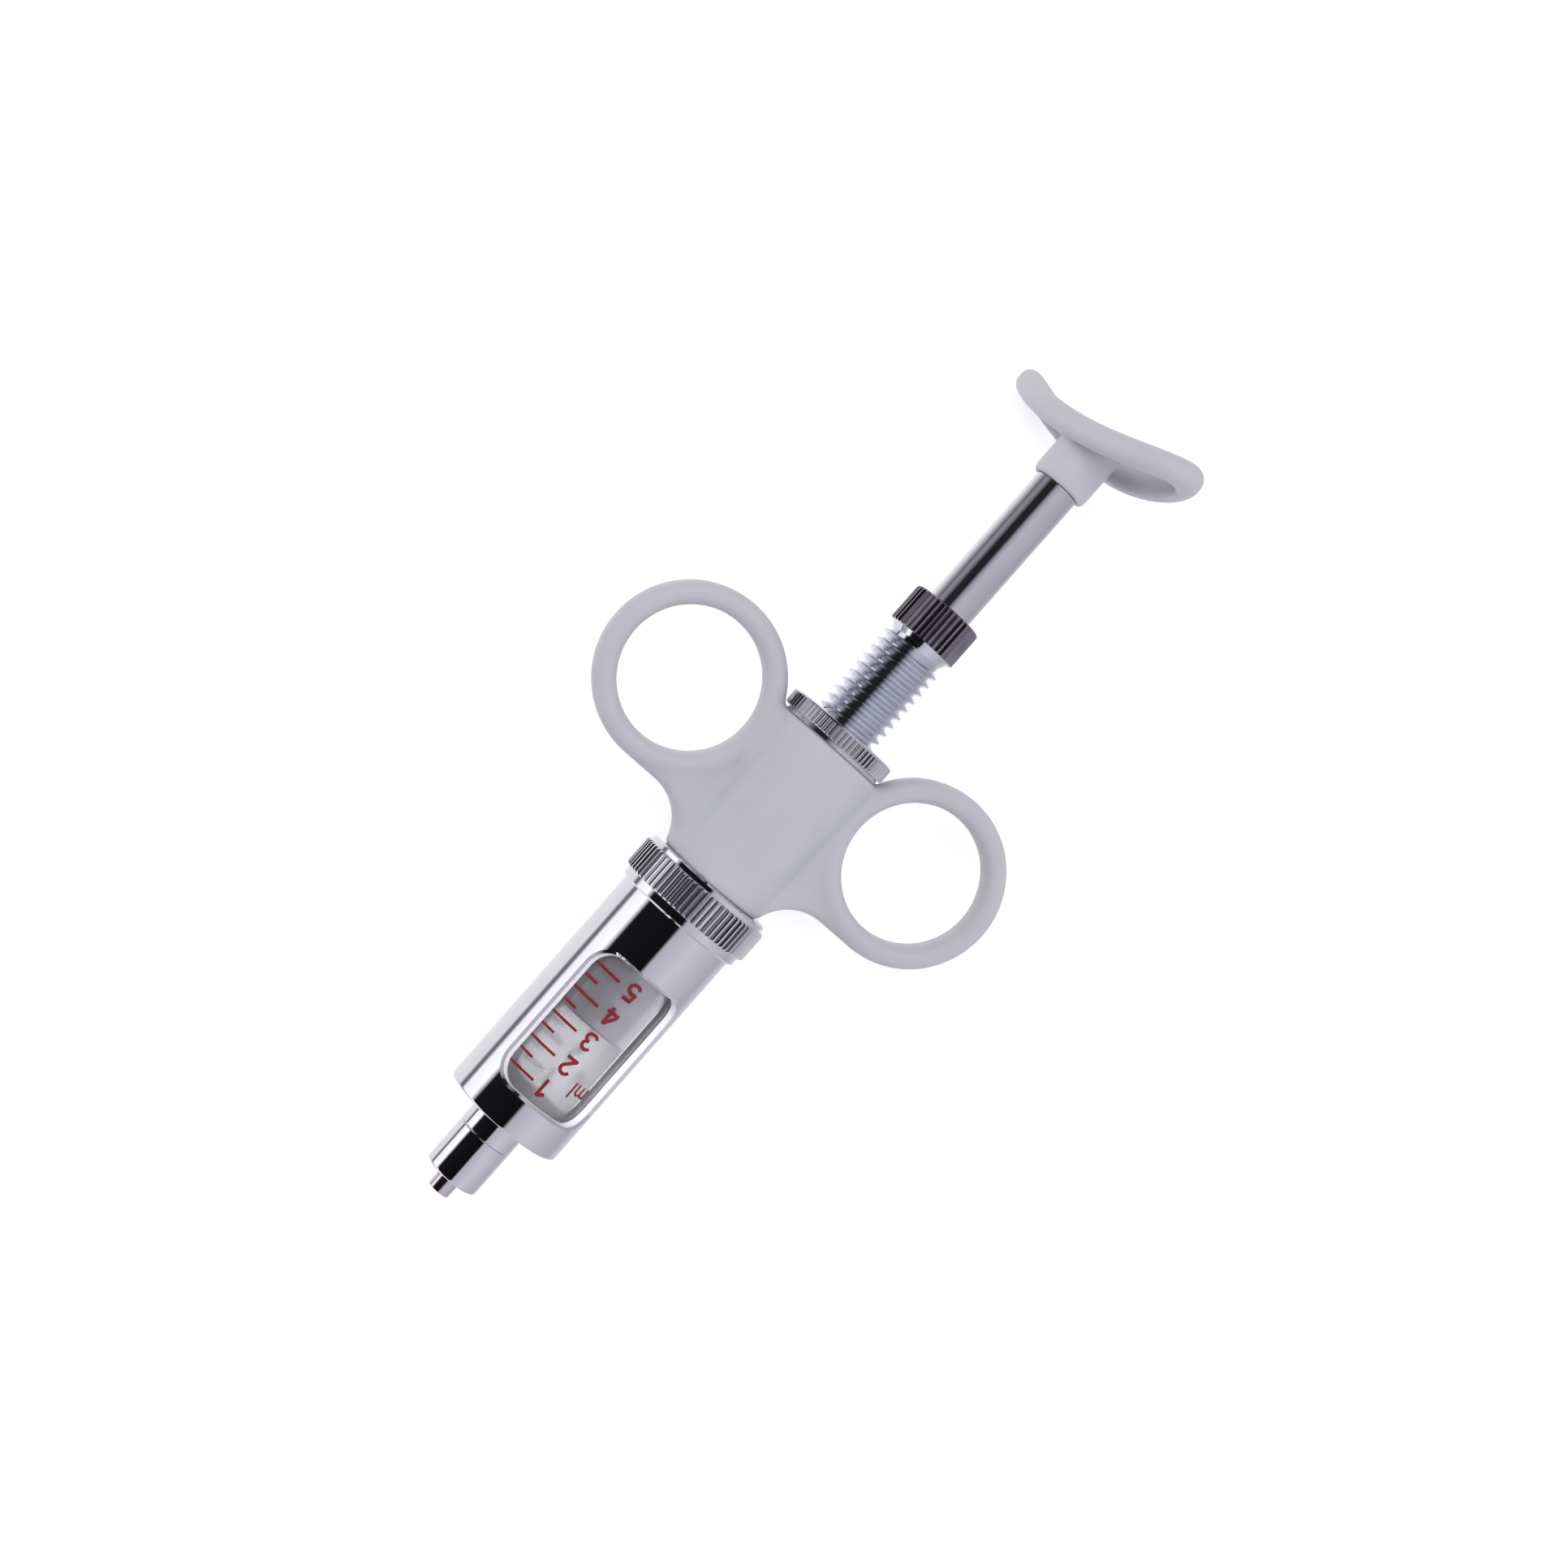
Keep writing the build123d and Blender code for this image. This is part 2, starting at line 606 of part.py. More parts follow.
def saddle_slab(low, top, half_length):
    """Curved slab between two parallel arcs, wide enough for the whole thumb rest."""
    radius = (SADDLE_HALF_LENGTH**2 + SADDLE_SAG**2) / (2 * SADDLE_SAG)
    centre = SADDLE_TOP + radius
    with BuildSketch(saddle_plane.offset(-SADDLE_HALF_WIDTH - 1)) as section:
        with Locations((centre, 0)):
            Circle(centre - low)
            Circle(centre - top, mode=Mode.SUBTRACT)
        with Locations((centre - radius, 0)):
            Rectangle(4 * SADDLE_HALF_WIDTH, 2 * half_length, mode=Mode.INTERSECT)
    with BuildPart() as slab:
        extrude(section.sketch, amount=2 * SADDLE_HALF_WIDTH + 2)
    return slab.part


saddle_shell = saddle_slab(SADDLE_LOW, SADDLE_TOP, SADDLE_HALF_LENGTH + 1)
recess_slab = saddle_slab(SADDLE_LOW - 3, SADDLE_TOP - SADDLE_SKIN, SADDLE_HALF_LENGTH + 1)
with BuildPart() as saddle_recess:
    with BuildSketch(oval_plane):
        Ellipse(SADDLE_HALF_LENGTH - SADDLE_RIM, SADDLE_HALF_WIDTH - SADDLE_RIM)
    extrude(amount=OVAL_EXTRUSION)
    add(recess_slab, mode=Mode.INTERSECT)

with BuildPart() as thumb_rest:
    with BuildSketch(oval_plane):
        Ellipse(SADDLE_HALF_LENGTH, SADDLE_HALF_WIDTH)
    extrude(amount=OVAL_EXTRUSION)
    add(saddle_shell, mode=Mode.INTERSECT)
    fillet(thumb_rest.edges(), radius=SADDLE_EDGE)
    add(saddle_recess.part, mode=Mode.SUBTRACT)
    with BuildSketch(oval_plane):
        Circle(HUB_RADIUS)
    extrude(amount=SADDLE_TOP - HUB_TOP_SKIN - HUB_FRONT)
    fillet(thumb_rest.edges().filter_by(GeomType.CIRCLE).group_by(Axis.X)[0], radius=0.6)
    with BuildSketch(oval_plane):
        Circle(INSERT_RADIUS)
    extrude(amount=INSERT_REAR - HUB_FRONT, mode=Mode.SUBTRACT)
finish(thumb_rest, "thumb_rest")
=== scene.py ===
import json
import math

import bmesh
import bpy
import numpy as np
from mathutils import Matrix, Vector

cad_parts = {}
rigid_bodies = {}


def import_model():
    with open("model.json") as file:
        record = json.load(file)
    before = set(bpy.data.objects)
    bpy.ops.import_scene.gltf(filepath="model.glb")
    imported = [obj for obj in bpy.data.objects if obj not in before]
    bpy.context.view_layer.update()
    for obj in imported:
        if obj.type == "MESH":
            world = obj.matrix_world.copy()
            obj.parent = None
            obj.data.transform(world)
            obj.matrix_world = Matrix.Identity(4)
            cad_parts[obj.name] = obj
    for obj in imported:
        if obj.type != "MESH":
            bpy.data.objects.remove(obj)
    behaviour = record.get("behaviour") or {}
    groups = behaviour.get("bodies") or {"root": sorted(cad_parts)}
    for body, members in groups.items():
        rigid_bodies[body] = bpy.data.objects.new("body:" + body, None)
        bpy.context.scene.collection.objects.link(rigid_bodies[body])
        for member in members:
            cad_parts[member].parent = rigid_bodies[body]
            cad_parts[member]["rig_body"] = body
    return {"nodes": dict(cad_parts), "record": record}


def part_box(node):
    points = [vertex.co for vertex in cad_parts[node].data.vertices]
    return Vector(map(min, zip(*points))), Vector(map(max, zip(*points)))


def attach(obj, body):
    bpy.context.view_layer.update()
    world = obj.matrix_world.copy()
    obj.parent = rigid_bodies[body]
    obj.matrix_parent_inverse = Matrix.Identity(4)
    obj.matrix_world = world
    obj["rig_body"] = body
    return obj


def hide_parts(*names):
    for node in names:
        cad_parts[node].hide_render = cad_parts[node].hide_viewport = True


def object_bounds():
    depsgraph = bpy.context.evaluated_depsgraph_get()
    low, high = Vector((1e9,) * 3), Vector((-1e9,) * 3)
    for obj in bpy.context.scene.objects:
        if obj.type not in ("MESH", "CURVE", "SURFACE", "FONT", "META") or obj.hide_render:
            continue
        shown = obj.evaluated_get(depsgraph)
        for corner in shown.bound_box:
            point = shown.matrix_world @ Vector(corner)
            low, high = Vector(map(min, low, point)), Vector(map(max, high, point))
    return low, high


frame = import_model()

cad_low, cad_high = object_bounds()
MM = 0.001
AXIS_ANGLE = 48.6


# Node helpers

def add_node(tree, kind, inputs=None, **settings):
    """A shader node with its settings and unlinked input values."""
    node = tree.nodes.new("ShaderNode" + kind)
    for name, value in settings.items():
        setattr(node, name, value)
    for socket, value in (inputs or {}).items():
        node.inputs[socket].default_value = value
    return node


def link(tree, source, output, target, socket):
    """Join one output to one input."""
    tree.links.new(source.outputs[output], target.inputs[socket])


def millimetres(tree, stretch=(1, 1, 1)):
    """Object coordinates in millimetres, stretched along the axes."""
    coordinates = add_node(tree, "TexCoord")
    mapping = add_node(tree, "Mapping", {"Scale": [factor / MM for factor in stretch]})
    link(tree, coordinates, "Object", mapping, "Vector")
    return mapping


def noise(tree, scale, stretch=(1, 1, 1), detail=3.0):
    """Noise with its scale in cycles per millimetre."""
    texture = add_node(tree, "TexNoise", {"Scale": scale, "Detail": detail})
    link(tree, millimetres(tree, stretch), "Vector", texture, "Vector")
    return texture


def ranged(tree, source, output, low, high):
    """A value between 0 and 1 turned into one between low and high."""
    spread = add_node(tree, "MapRange", {"To Min": low, "To Max": high})
    link(tree, source, output, spread, "Value")
    return spread


def tinted(tree, source, output, first, second, low=0.3, high=0.7):
    """A colour that runs from first to second with the source value."""
    ramp = add_node(tree, "ValToRGB")
    ramp.color_ramp.elements[0].position = low
    ramp.color_ramp.elements[0].color = (*first, 1)
    ramp.color_ramp.elements[1].position = high
    ramp.color_ramp.elements[1].color = (*second, 1)
    link(tree, source, output, ramp, "Fac")
    return ramp


def bumped(tree, shader, source, output, height, strength=1.0):
    """Surface relief; height is in millimetres."""
    relief = add_node(tree, "Bump", {"Strength": strength, "Distance": height * MM})
    link(tree, source, output, relief, "Height")
    link(tree, relief, "Normal", shader, "Normal")


def new_material(name, **values):
    """An empty Principled material with uniform values set on its own sockets."""
    material = bpy.data.materials.new(name)
    material.use_nodes = True
    tree = material.node_tree
    shader = tree.nodes["Principled BSDF"]
    for socket, value in values.items():
        shader.inputs[socket.replace("_", " ")].default_value = value
    return material, tree, shader


# Materials

def metal(name, light, dark, rough_low, rough_high, line_height, metallic=1.0):
    """Turned and plated metal: faint tool lines round the axis, and patches a little duller than others."""
    material, tree, shader = new_material(name, Metallic=metallic)
    patches = noise(tree, 0.25)
    colour = tinted(tree, patches, "Fac", dark, light)
    link(tree, colour, "Color", shader, "Base Color")
    lines = noise(tree, 1.0, stretch=(14, 0.4, 0.4), detail=4.0)
    roughness = ranged(tree, lines, "Fac", rough_low, rough_high)
    link(tree, roughness, "Result", shader, "Roughness")
    bumped(tree, shader, lines, "Fac", line_height)
    return material


def step(tree, source, output, inside, outside):
    """1 up to the value inside, falling to 0 at the value outside."""
    edge = add_node(tree, "MapRange", {"From Min": outside, "From Max": inside})
    link(tree, source, output, edge, "Value")
    return edge


def along_axis(tree):
    """The distance along the syringe's axis, in millimetres, as the output X."""
    place = add_node(tree, "SeparateXYZ")
    link(tree, millimetres(tree), "Vector", place, "Vector")
    return place


def duller(tree, shader, zone, output, roughness):
    """Another roughness where the zone's output is 1."""
    blend = add_node(tree, "Mix")
    link(tree, zone, output, blend, "Factor")
    tree.links.new(shader.inputs["Roughness"].links[0].from_socket, blend.inputs["A"])
    blend.inputs["B"].default_value = roughness
    link(tree, blend, "Result", shader, "Roughness")


def sleeve_metal():
    """Chrome outside, and a blasted bore that scatters the light inside the barrel."""
    material = metal("sleeve_chrome", *PLATING)
    tree = material.node_tree
    shader = tree.nodes["Principled BSDF"]
    across = millimetres(tree, stretch=(0, 1, 1))
    radius = add_node(tree, "VectorMath", operation="LENGTH")
    link(tree, across, "Vector", radius, 0)
    within = step(tree, radius, "Value", BORE_EDGE, BORE_EDGE + ZONE_BLUR)
    behind = step(tree, along_axis(tree), "X", BORE_FRONT + ZONE_BLUR, BORE_FRONT)
    bore = add_node(tree, "Math", operation="MULTIPLY")
    link(tree, within, "Result", bore, 0)
    link(tree, behind, "Result", bore, 1)
    plating = ranged(tree, bore, "Value", 1.0, 0.0)
    link(tree, plating, "Result", shader, "Metallic")
    duller(tree, shader, bore, "Value", BORE_ROUGHNESS)
    paler = add_node(tree, "Mix", data_type="RGBA")
    link(tree, bore, "Value", paler, "Factor")
    tree.links.new(shader.inputs["Base Color"].links[0].from_socket, paler.inputs[COLOUR_A])
    paler.inputs[COLOUR_B].default_value = BORE_COLOUR
    tree.links.new(paler.outputs[COLOUR_RESULT], shader.inputs["Base Color"])
    return material


def nut_metal():
    """Chrome with a duller knurl, where the plating follows a coarse cut."""
    material = metal("nut_chrome", *PLATING)
    tree = material.node_tree
    offset = add_node(tree, "Math", {1: KNURL_MIDDLE}, operation="SUBTRACT")
    link(tree, along_axis(tree), "X", offset, 0)
    distance = add_node(tree, "Math", operation="ABSOLUTE")
    link(tree, offset, "Value", distance, 0)
    knurl = step(tree, distance, "Value", KNURL_HALF - ZONE_BLUR, KNURL_HALF)
    duller(tree, tree.nodes["Principled BSDF"], knurl, "Result", KNURL_ROUGHNESS)
    return material


def moulded_plastic(name, light, dark):
    """Fine spark-eroded mould surface with slight shifts of tone."""
    material, tree, shader = new_material(name, IOR=1.5)
    clouds = noise(tree, 0.12, detail=2.0)
    colour = tinted(tree, clouds, "Fac", dark, light)
    link(tree, colour, "Color", shader, "Base Color")
    grain = noise(tree, 3.2, detail=2.0)
    roughness = ranged(tree, grain, "Fac", 0.36, 0.52)
    link(tree, roughness, "Result", shader, "Roughness")
    bumped(tree, shader, grain, "Fac", 0.012, strength=0.5)
    return material


def clear_glass():
    """Borosilicate tube with the faintest drawn streaks along it."""
    material, tree, shader = new_material(
        "glass", Base_Color=(0.985, 0.980, 0.990, 1), Transmission_Weight=1.0, IOR=1.47
    )
    streaks = noise(tree, 0.6, stretch=(0.05, 1, 1))
    roughness = ranged(tree, streaks, "Fac", 0.0, 0.02)
    link(tree, roughness, "Result", shader, "Roughness")
    return material


def enamel(name, light, dark):
    """Fired ceramic ink, a little uneven."""
    material, tree, shader = new_material(name, IOR=1.5)
    grain = noise(tree, 4.0)
    colour = tinted(tree, grain, "Fac", dark, light)
    link(tree, colour, "Color", shader, "Base Color")
    roughness = ranged(tree, grain, "Fac", 0.3, 0.5)
    link(tree, roughness, "Result", shader, "Roughness")
    return material


# Zones of the plated pieces, in millimetres
BORE_EDGE = 10.5
BORE_FRONT = 17.0
BORE_ROUGHNESS = 0.75
BORE_COLOUR = (0.93, 0.93, 0.96, 1)
KNURL_MIDDLE = 63.75
KNURL_HALF = 2.9
KNURL_ROUGHNESS = 0.2
ZONE_BLUR = 0.1

# Sockets of a colour Mix node, which share their names with its other types
COLOUR_A = 6
COLOUR_B = 7
COLOUR_RESULT = 2

# Plain chrome: light and dark colour, roughness range and height of the tool lines in millimetres
PLATING = ((0.83, 0.83, 0.86), (0.79, 0.79, 0.82), 0.03, 0.07, 0.0002)
MATERIALS = {
    "sleeve_chrome": sleeve_metal(),
    "nut_chrome": nut_metal(),
    "chrome": metal("chrome", *PLATING),
    "thread_chrome": metal("thread_chrome", (0.82, 0.84, 0.90), (0.74, 0.76, 0.83), 0.05, 0.11, 0.0004),
    "dark_chrome": metal("dark_chrome", (0.38, 0.35, 0.40), (0.27, 0.24, 0.29), 0.06, 0.14, 0.0004),
    "nozzle_metal": metal("nozzle_metal", (0.76, 0.71, 0.74), (0.70, 0.65, 0.68), 0.10, 0.18, 0.0006),
    "piston_metal": metal("piston_metal", (0.66, 0.66, 0.69), (0.60, 0.60, 0.63), 0.46, 0.58, 0.001, 0.8),
    "brass": metal("brass", (0.78, 0.60, 0.30), (0.70, 0.53, 0.26), 0.2, 0.32, 0.001),
    "handle_plastic": moulded_plastic("handle_plastic", (0.565, 0.565, 0.620), (0.545, 0.545, 0.600)),
    "bush_plastic": moulded_plastic("bush_plastic", (0.86, 0.86, 0.83), (0.82, 0.82, 0.79)),
    "seal": moulded_plastic("seal", (0.80, 0.80, 0.77), (0.75, 0.75, 0.72)),
    "glass": clear_glass(),
    "scale_red": enamel("scale_red", (0.22, 0.007, 0.017), (0.15, 0.004, 0.010)),
}
NODE_MATERIALS = {
    "dose_screw": "thread_chrome", "barrel_sleeve": "sleeve_chrome", "barrel_nut": "nut_chrome"
}


def paint(piece, name):
    """Give a piece one material."""
    piece.data.materials.clear()
    piece.data.materials.append(MATERIALS[name])


for row in frame["record"]["subparts"]:
    node = row["node"]
    paint(frame["nodes"][node], NODE_MATERIALS.get(node, row["material_slot"]))


# Moulded plastic pieces: the CAD solid with its inner corners filled and its edges eased

def mesh_arrays(mesh):
    """Vertex positions and edges as arrays."""
    points = np.empty(len(mesh.vertices) * 3)
    mesh.vertices.foreach_get("co", points)
    edges = np.empty(len(mesh.edges) * 2, dtype=np.int64)
    mesh.edges.foreach_get("vertices", edges)
    return points.reshape(-1, 3), edges.reshape(-1, 2)


def vertex_normals(mesh, points):
    """Normals after the vertices have moved to points."""
    mesh.vertices.foreach_set("co", points.ravel())
    mesh.update()
    normals = np.empty(len(mesh.vertices) * 3)
    mesh.vertex_normals.foreach_get("vector", normals)
    return normals.reshape(-1, 3)


def ease(mesh, fill_passes, relax_passes):
    """Fill concave corners into fillets, then relax every edge a little."""
    points, edges = mesh_arrays(mesh)
    ends = np.concatenate([edges[:, 0], edges[:, 1]])
    others = np.concatenate([edges[:, 1], edges[:, 0]])
    count = np.bincount(ends, minlength=len(points))[:, None]
    for turn in range(fill_passes + relax_passes):
        total = np.stack(
            [np.bincount(ends, weights=points[others, axis], minlength=len(points)) for axis in range(3)], axis=1
        )
        pull = total / count - points
        if turn < fill_passes:
            normals = vertex_normals(mesh, points)
            outward = (pull * normals).sum(axis=1, keepdims=True)
            pull = normals * np.maximum(outward, 0)
        points = points + 0.5 * pull
    mesh.vertices.foreach_set("co", points.ravel())
    mesh.update()


def moulded(node, voxel, fill_passes, relax_passes):
    """A finely meshed, softened copy of a CAD solid, standing for it."""
    source = frame["nodes"][node]
    piece = bpy.data.objects.new(node + "_moulded", source.data.copy())
    bpy.context.scene.collection.objects.link(piece)
    remesh = piece.modifiers.new("even_mesh", "REMESH")
    remesh.mode = "VOXEL"
    remesh.voxel_size = voxel * MM
    view = bpy.context.evaluated_depsgraph_get()
    mesh = bpy.data.meshes.new_from_object(piece.evaluated_get(view))
    piece.modifiers.clear()
    piece.data = mesh
    ease(mesh, fill_passes, relax_passes)
    mesh.shade_smooth()
    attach(piece, source["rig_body"])
    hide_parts(node)
    return piece


voxel = 0.4
handle = moulded("handle", voxel, fill_passes=70, relax_passes=5)
paint(handle, "handle_plastic")
thumb_rest = moulded("thumb_rest", voxel, fill_passes=8, relax_passes=8)
paint(thumb_rest, "handle_plastic")

# Light reaches the piston and the bore through the glass
frame["nodes"]["glass_barrel"].visible_shadow = False


# Scale on the glass. Angles are from straight up, towards -Y.

glass_low, glass_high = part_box("glass_barrel")
PRINT_RADIUS = glass_high.z
PRINT_THICKNESS = 0.02 * MM
ZERO_MARK = 20.0 * MM
ML_STEP = 5.23 * MM
LINE_WIDTH = 0.45 * MM
WHOLE_MARK_START = -1
HALF_MARK_START = -17
MARK_END = -44
NUMBER_HEIGHT = 3.35 * MM
NUMBER_EDGE = 8.3
NUMBER_PEN = 0.175
UNIT_HEIGHT = 2.95 * MM
UNIT_EDGE = 35
UNIT_PEN = 0.14


def on_glass(station, angle, height):
    """A point above the glass, from its distance along the axis, its angle and its height."""
    radius = PRINT_RADIUS + height
    turn = math.radians(angle)
    return Vector((station, -radius * math.sin(turn), radius * math.cos(turn)))


def scale_line(station, first, last):
    """A curved printed line across the glass, as a thin closed solid."""
    steps = max(2, round(abs(last - first) / 2))
    mesh = bmesh.new()
    rings = []
    for step in range(steps + 1):
        angle = first + (last - first) * step / steps
        corners = (
            (station - LINE_WIDTH / 2, 0),
            (station + LINE_WIDTH / 2, 0),
            (station + LINE_WIDTH / 2, PRINT_THICKNESS),
            (station - LINE_WIDTH / 2, PRINT_THICKNESS),
        )
        rings.append([mesh.verts.new(on_glass(x, angle, height)) for x, height in corners])
    for ring, following in zip(rings, rings[1:]):
        for corner in range(4):
            after = (corner + 1) % 4
            mesh.faces.new((ring[corner], ring[after], following[after], following[corner]))
    mesh.faces.new(rings[0])
    mesh.faces.new(list(reversed(rings[-1])))
    bmesh.ops.recalc_face_normals(mesh, faces=mesh.faces)
    return mesh


def bend(x, y, width, height, start, end):
    """Points along an elliptic arc, from its centre, half axes and angles."""
    steps = 12
    turns = [math.radians(start + (end - start) * step / steps) for step in range(steps + 1)]
    return [(x + width * math.cos(turn), y + height * math.sin(turn)) for turn in turns]


# Figures as pen strokes in a frame 1 high
FIGURES = {
    "1": [[(0.20, 0.72), (0.48, 0.92)], [(0.52, 0), (0.52, 1)]],
    "2": [bend(0.34, 0.67, 0.26, 0.255, 165, -32) + [(0.12, 0.10)], [(0.03, 0.075), (0.68, 0.075)]],
    "3": [bend(0.33, 0.71, 0.235, 0.215, 160, -85), bend(0.33, 0.30, 0.27, 0.225, 88, -160)],
    "4": [[(0.50, 0), (0.50, 1)], [(0.47, 0.95), (0.08, 0.34)], [(0.02, 0.28), (0.70, 0.28)]],
    "5": [[(0.62, 0.925), (0.15, 0.925)], [(0.19, 0.98), (0.12, 0.47)], bend(0.34, 0.325, 0.27, 0.25, 142, -158)],
    "ml": [
        [(0.06, 0), (0.06, 0.68)],
        bend(0.245, 0.42, 0.185, 0.20, 180, 0) + [(0.43, 0)],
        bend(0.615, 0.42, 0.185, 0.20, 180, 0) + [(0.80, 0)],
        [(1.08, 0), (1.08, 1)],
    ],
}


def printed_figure(text, station, edge, height, pen):
    """Pen strokes wrapped round the glass, upright when the tip points up; edge is their right edge's angle."""
    curve = bpy.data.curves.new("strokes", "CURVE")
    curve.dimensions = "3D"
    curve.bevel_depth = pen / 2
    curve.bevel_resolution = 1
    curve.use_fill_caps = True
    for stroke in FIGURES[text]:
        spline = curve.splines.new("POLY")
        spline.points.add(len(stroke) - 1)
        for point, (x, y) in zip(spline.points, stroke):
            point.co = (x, y, 0, 1)
    strokes = bpy.data.objects.new("strokes", curve)
    bpy.context.scene.collection.objects.link(strokes)
    view = bpy.context.evaluated_depsgraph_get()
    data = bpy.data.meshes.new_from_object(strokes.evaluated_get(view))
    bpy.data.objects.remove(strokes)
    mesh = bmesh.new()
    mesh.from_mesh(data)
    bpy.data.meshes.remove(data)
    left = min(vertex.co.x for vertex in mesh.verts)
    right = max(vertex.co.x for vertex in mesh.verts)
    cuts = 12
    for cut in range(1, cuts):
        place = left + (right - left) * cut / cuts
        bmesh.ops.bisect_plane(
            mesh, geom=mesh.verts[:] + mesh.edges[:] + mesh.faces[:],
            plane_co=(place, 0, 0), plane_no=(1, 0, 0), dist=1e-5
        )
    for vertex in mesh.verts:
        turn = edge + math.degrees((right - vertex.co.x) * height / PRINT_RADIUS)
        rise = (vertex.co.z / pen + 0.5) * PRINT_THICKNESS
        vertex.co = on_glass(station - (vertex.co.y - 0.5) * height, turn, rise)
    bmesh.ops.recalc_face_normals(mesh, faces=mesh.faces)
    return mesh


def printed_piece(name, meshes):
    """One printed piece from several small meshes."""
    data = bpy.data.meshes.new(name)
    whole = bmesh.new()
    for mesh in meshes:
        part = bpy.data.meshes.new("part")
        mesh.to_mesh(part)
        mesh.free()
        whole.from_mesh(part)
        bpy.data.meshes.remove(part)
    whole.to_mesh(data)
    whole.free()
    piece = bpy.data.objects.new(name, data)
    bpy.context.scene.collection.objects.link(piece)
    paint(piece, "scale_red")
    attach(piece, "barrel")
    return piece


whole_marks = [scale_line(ZERO_MARK + ml * ML_STEP, WHOLE_MARK_START, MARK_END) for ml in range(1, 6)]
half_marks = [scale_line(ZERO_MARK + (ml + 0.5) * ML_STEP, HALF_MARK_START, MARK_END) for ml in range(1, 5)]
printed_piece("scale_marks", whole_marks + half_marks)
numbers = [
    printed_figure(str(ml), ZERO_MARK + ml * ML_STEP, NUMBER_EDGE, NUMBER_HEIGHT, NUMBER_PEN)
    for ml in range(1, 6)
]
printed_piece("scale_numbers", numbers)
unit = printed_figure("ml", ZERO_MARK + 1.5 * ML_STEP, UNIT_EDGE, UNIT_HEIGHT, UNIT_PEN)
printed_piece("scale_unit", [unit])


# Floor, light and camera

FLOOR_HALF = 3.0
DOME_RADIUS = 2.8


def staged(name, mesh, colour, roughness, glow, strength):
    """A plain piece of the set that chrome doesn't reflect."""
    piece = bpy.data.objects.new(name, mesh)
    bpy.context.scene.collection.objects.link(piece)
    material, tree, shader = new_material(
        name, Base_Color=colour, Roughness=roughness, Emission_Color=glow, Emission_Strength=strength
    )
    mesh.materials.append(material)
    piece.visible_glossy = False
    return piece


def floor():
    """A plain pale floor under the syringe."""
    mesh = bpy.data.meshes.new("floor")
    signs = ((-1, -1), (1, -1), (1, 1), (-1, 1))
    corners = [(x * FLOOR_HALF, y * FLOOR_HALF, cad_low.z) for x, y in signs]
    mesh.from_pydata(corners, [], [(0, 1, 2, 3)])
    staged("floor", mesh, (0.9, 0.9, 0.9, 1), 0.9, (1, 1, 1, 1), 0.42)


def backdrop():
    """A plain pale dome that only the camera sees."""
    mesh = bpy.data.meshes.new("backdrop")
    dome = bmesh.new()
    bmesh.ops.create_uvsphere(dome, u_segments=64, v_segments=32, radius=DOME_RADIUS)
    dome.to_mesh(mesh)
    dome.free()
    piece = staged("backdrop", mesh, (0, 0, 0, 1), 1, (0.98, 0.98, 1, 1), 0.68)
    mesh.materials[0].cycles.emission_sampling = "NONE"
    piece.visible_diffuse = False
    piece.visible_transmission = False
    piece.visible_shadow = False


# What the chrome reflects: brightness by the angle round the syringe's axis, from straight up towards +Y.
# A black card hangs overhead. It is narrower, and the wall beside it greyer, on the thumb rest's side.
NOZZLE_SIDE = (
    (-180, 0.85), (-125, 0.46), (-55, 0.66), (-17, 0.52), (-12, 0.005), (56, 0.01),
    (66, 1.25), (90, 1.1), (96, 0.18), (102, 0.18), (108, 0.85), (180, 0.95),
)
THUMB_SIDE = (
    (-180, 0.7), (-115, 0.40), (-50, 0.5), (-20, 0.53), (-2, 0.4), (14, 0.02), (42, 0.02),
    (62, 0.28), (74, 0.28), (84, 0.14), (94, 0.30), (130, 0.9), (180, 1.0),
)


def wall(tree, turn, stops):
    """A colour ramp round the axis from (degrees, brightness) stops; greys lean to lavender."""
    share = add_node(tree, "MapRange", {"From Min": -math.pi, "From Max": math.pi})
    link(tree, turn, "Value", share, "Value")
    ramp = add_node(tree, "ValToRGB")
    elements = ramp.color_ramp.elements
    while len(elements) < len(stops):
        elements.new(0.5)
    for element, (angle, level) in zip(elements, stops):
        element.position = (angle + 180) / 360
        blue = 1.02 if level > 0.8 else 1.1
        element.color = (level, 0.985 * level, blue * level, 1)
    link(tree, share, "Result", ramp, "Fac")
    return ramp


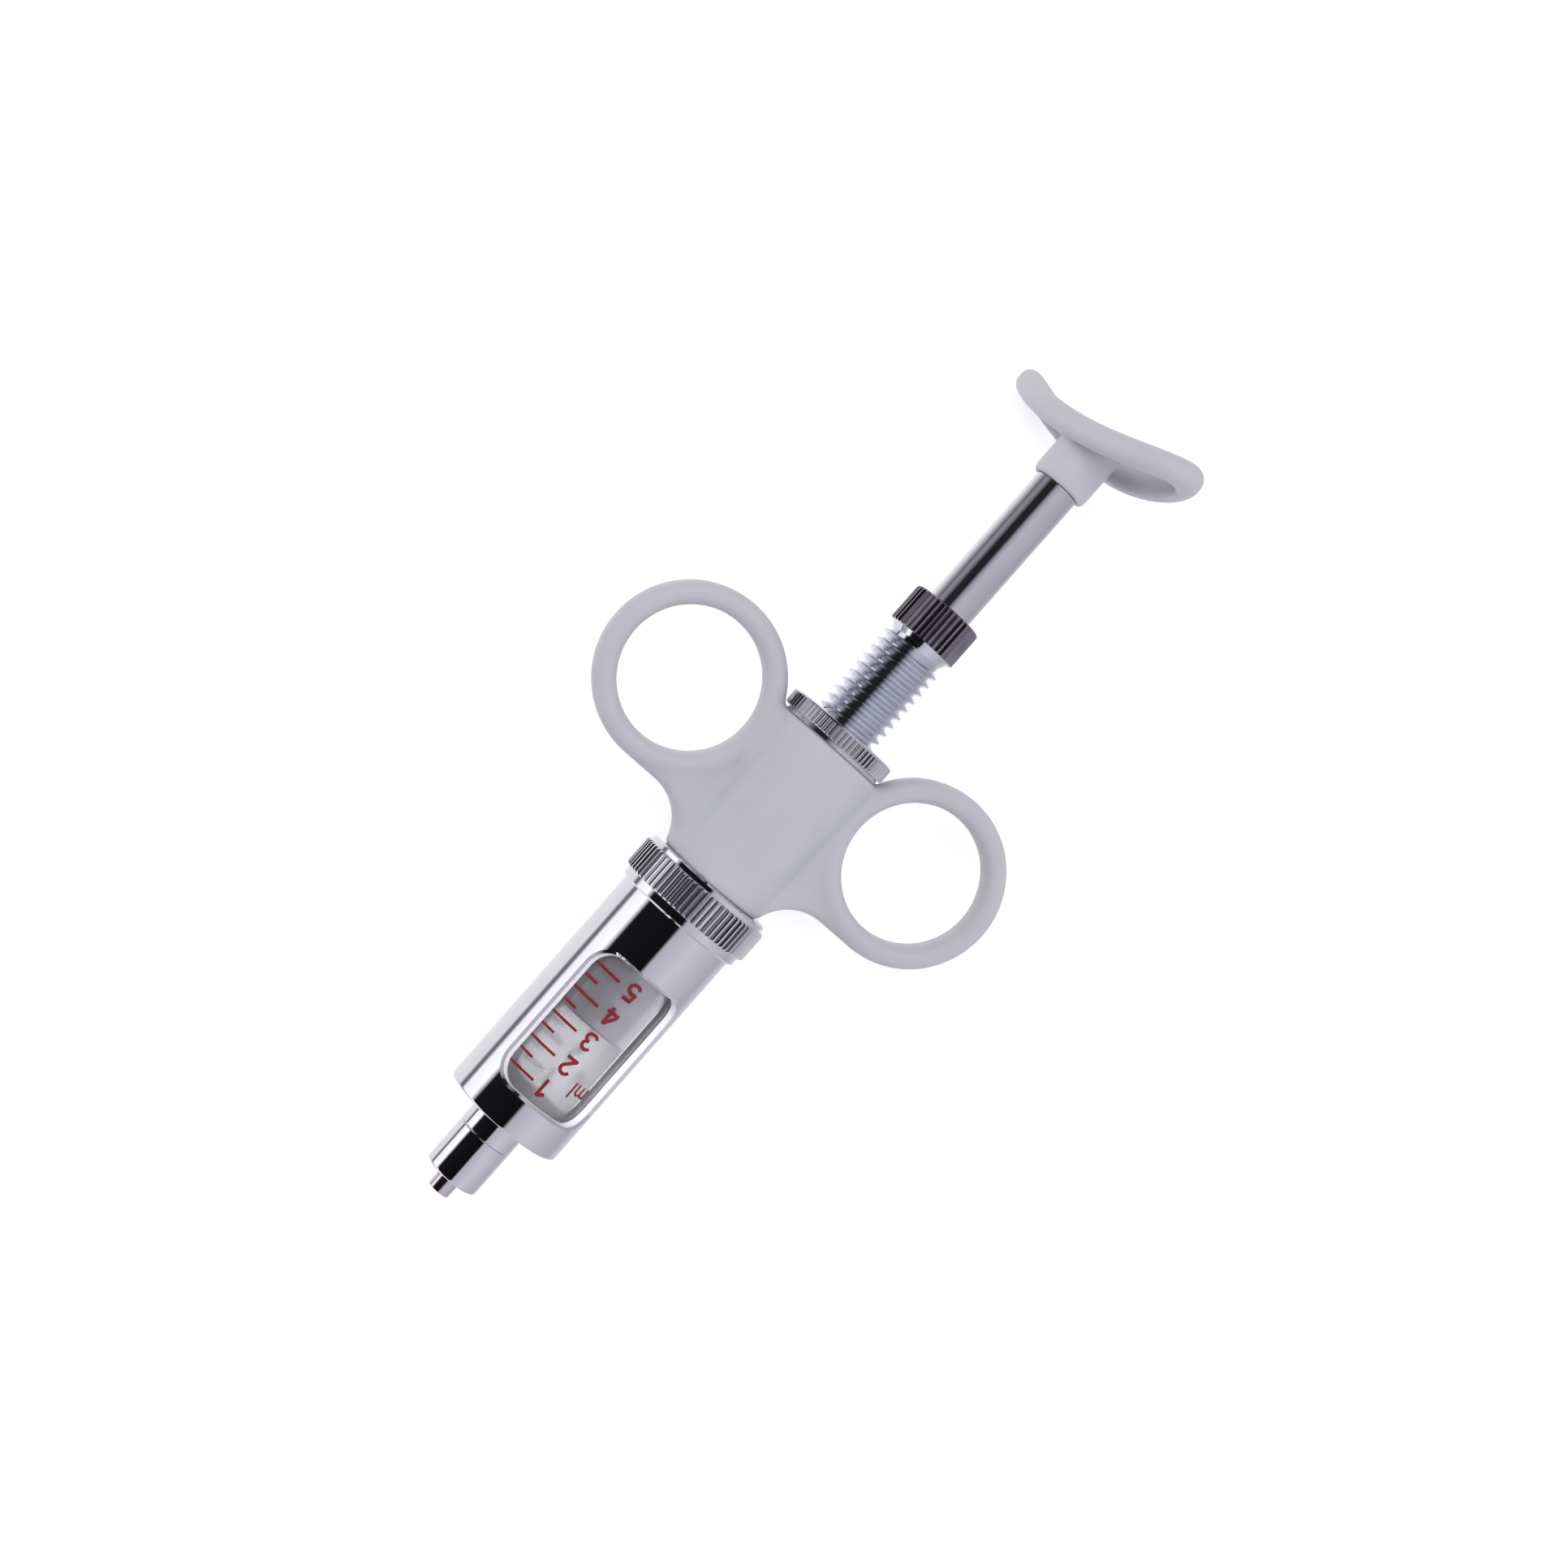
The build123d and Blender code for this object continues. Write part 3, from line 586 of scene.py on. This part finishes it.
def studio():
    """A white tent with a black card overhead."""
    world = bpy.data.worlds.new("studio")
    bpy.context.scene.world = world
    world.use_nodes = True
    tree = world.node_tree
    coordinates = add_node(tree, "TexCoord")
    parts = add_node(tree, "SeparateXYZ")
    link(tree, coordinates, "Generated", parts, "Vector")
    turn = add_node(tree, "Math", operation="ARCTAN2")
    link(tree, parts, "Y", turn, 0)
    link(tree, parts, "Z", turn, 1)
    along = add_node(tree, "MapRange", {"From Min": -0.04, "From Max": 0.03})
    link(tree, parts, "X", along, "Value")
    blend = add_node(tree, "Mix", data_type="RGBA")
    link(tree, along, "Result", blend, "Factor")
    tree.links.new(wall(tree, turn, NOZZLE_SIDE).outputs["Color"], blend.inputs[COLOUR_A])
    tree.links.new(wall(tree, turn, THUMB_SIDE).outputs["Color"], blend.inputs[COLOUR_B])
    tree.links.new(blend.outputs[COLOUR_RESULT], tree.nodes["Background"].inputs["Color"])


def place_lamp(lamp, place):
    """Put a lamp in the scene so that it lights but doesn't show in the chrome or through the glass."""
    lamp_object = bpy.data.objects.new(lamp.name, lamp)
    lamp_object.location = place
    lamp_object.visible_glossy = False
    lamp_object.visible_transmission = False
    bpy.context.scene.collection.objects.link(lamp_object)
    return lamp_object


def soft_light(name, place, target, size, power):
    """A large round soft lamp."""
    lamp = bpy.data.lights.new(name, "AREA")
    lamp.shape = "DISK"
    lamp.size = size
    lamp.energy = power
    lamp_object = place_lamp(lamp, place)
    lamp_object.rotation_mode = "QUATERNION"
    lamp_object.rotation_quaternion = (Vector(target) - Vector(place)).to_track_quat("-Z", "Y")


def window_light(place, power):
    """A small soft spot straight above the sleeve's window, for the piston and the bore."""
    lamp = bpy.data.lights.new("window_light", "SPOT")
    lamp.spot_size = math.radians(5.4)
    lamp.spot_blend = 0.35
    lamp.shadow_soft_size = 0.02
    lamp.energy = power
    place_lamp(lamp, place)


def camera():
    """Straight down, with the syringe's axis rising to the right."""
    data = bpy.data.cameras.new("camera")
    data.sensor_width = 36
    data.lens = 60.3
    data.clip_start = 0.01
    data.clip_end = 20
    piece = bpy.data.objects.new("camera", data)
    piece.location = (0.0875, 0.00144, 0.431)
    piece.rotation_euler = (0, 0, -math.radians(AXIS_ANGLE))
    bpy.context.scene.collection.objects.link(piece)
    bpy.context.scene.camera = piece


middle = (cad_low + cad_high) / 2
floor()
backdrop()
studio()
soft_light("top_light", (middle.x + 0.2, 0.15, 0.85), middle, 0.9, 4.7)
soft_light("side_light", (middle.x + 0.1, 0.8, 0.5), middle, 0.8, 1.4)
soft_light("fill_light", (middle.x, -0.8, 0.5), middle, 0.8, 1.2)
window_light((0.034, -0.002, 0.5), 5.0)
camera()
scene = bpy.context.scene
scene.view_settings.view_transform = "Standard"
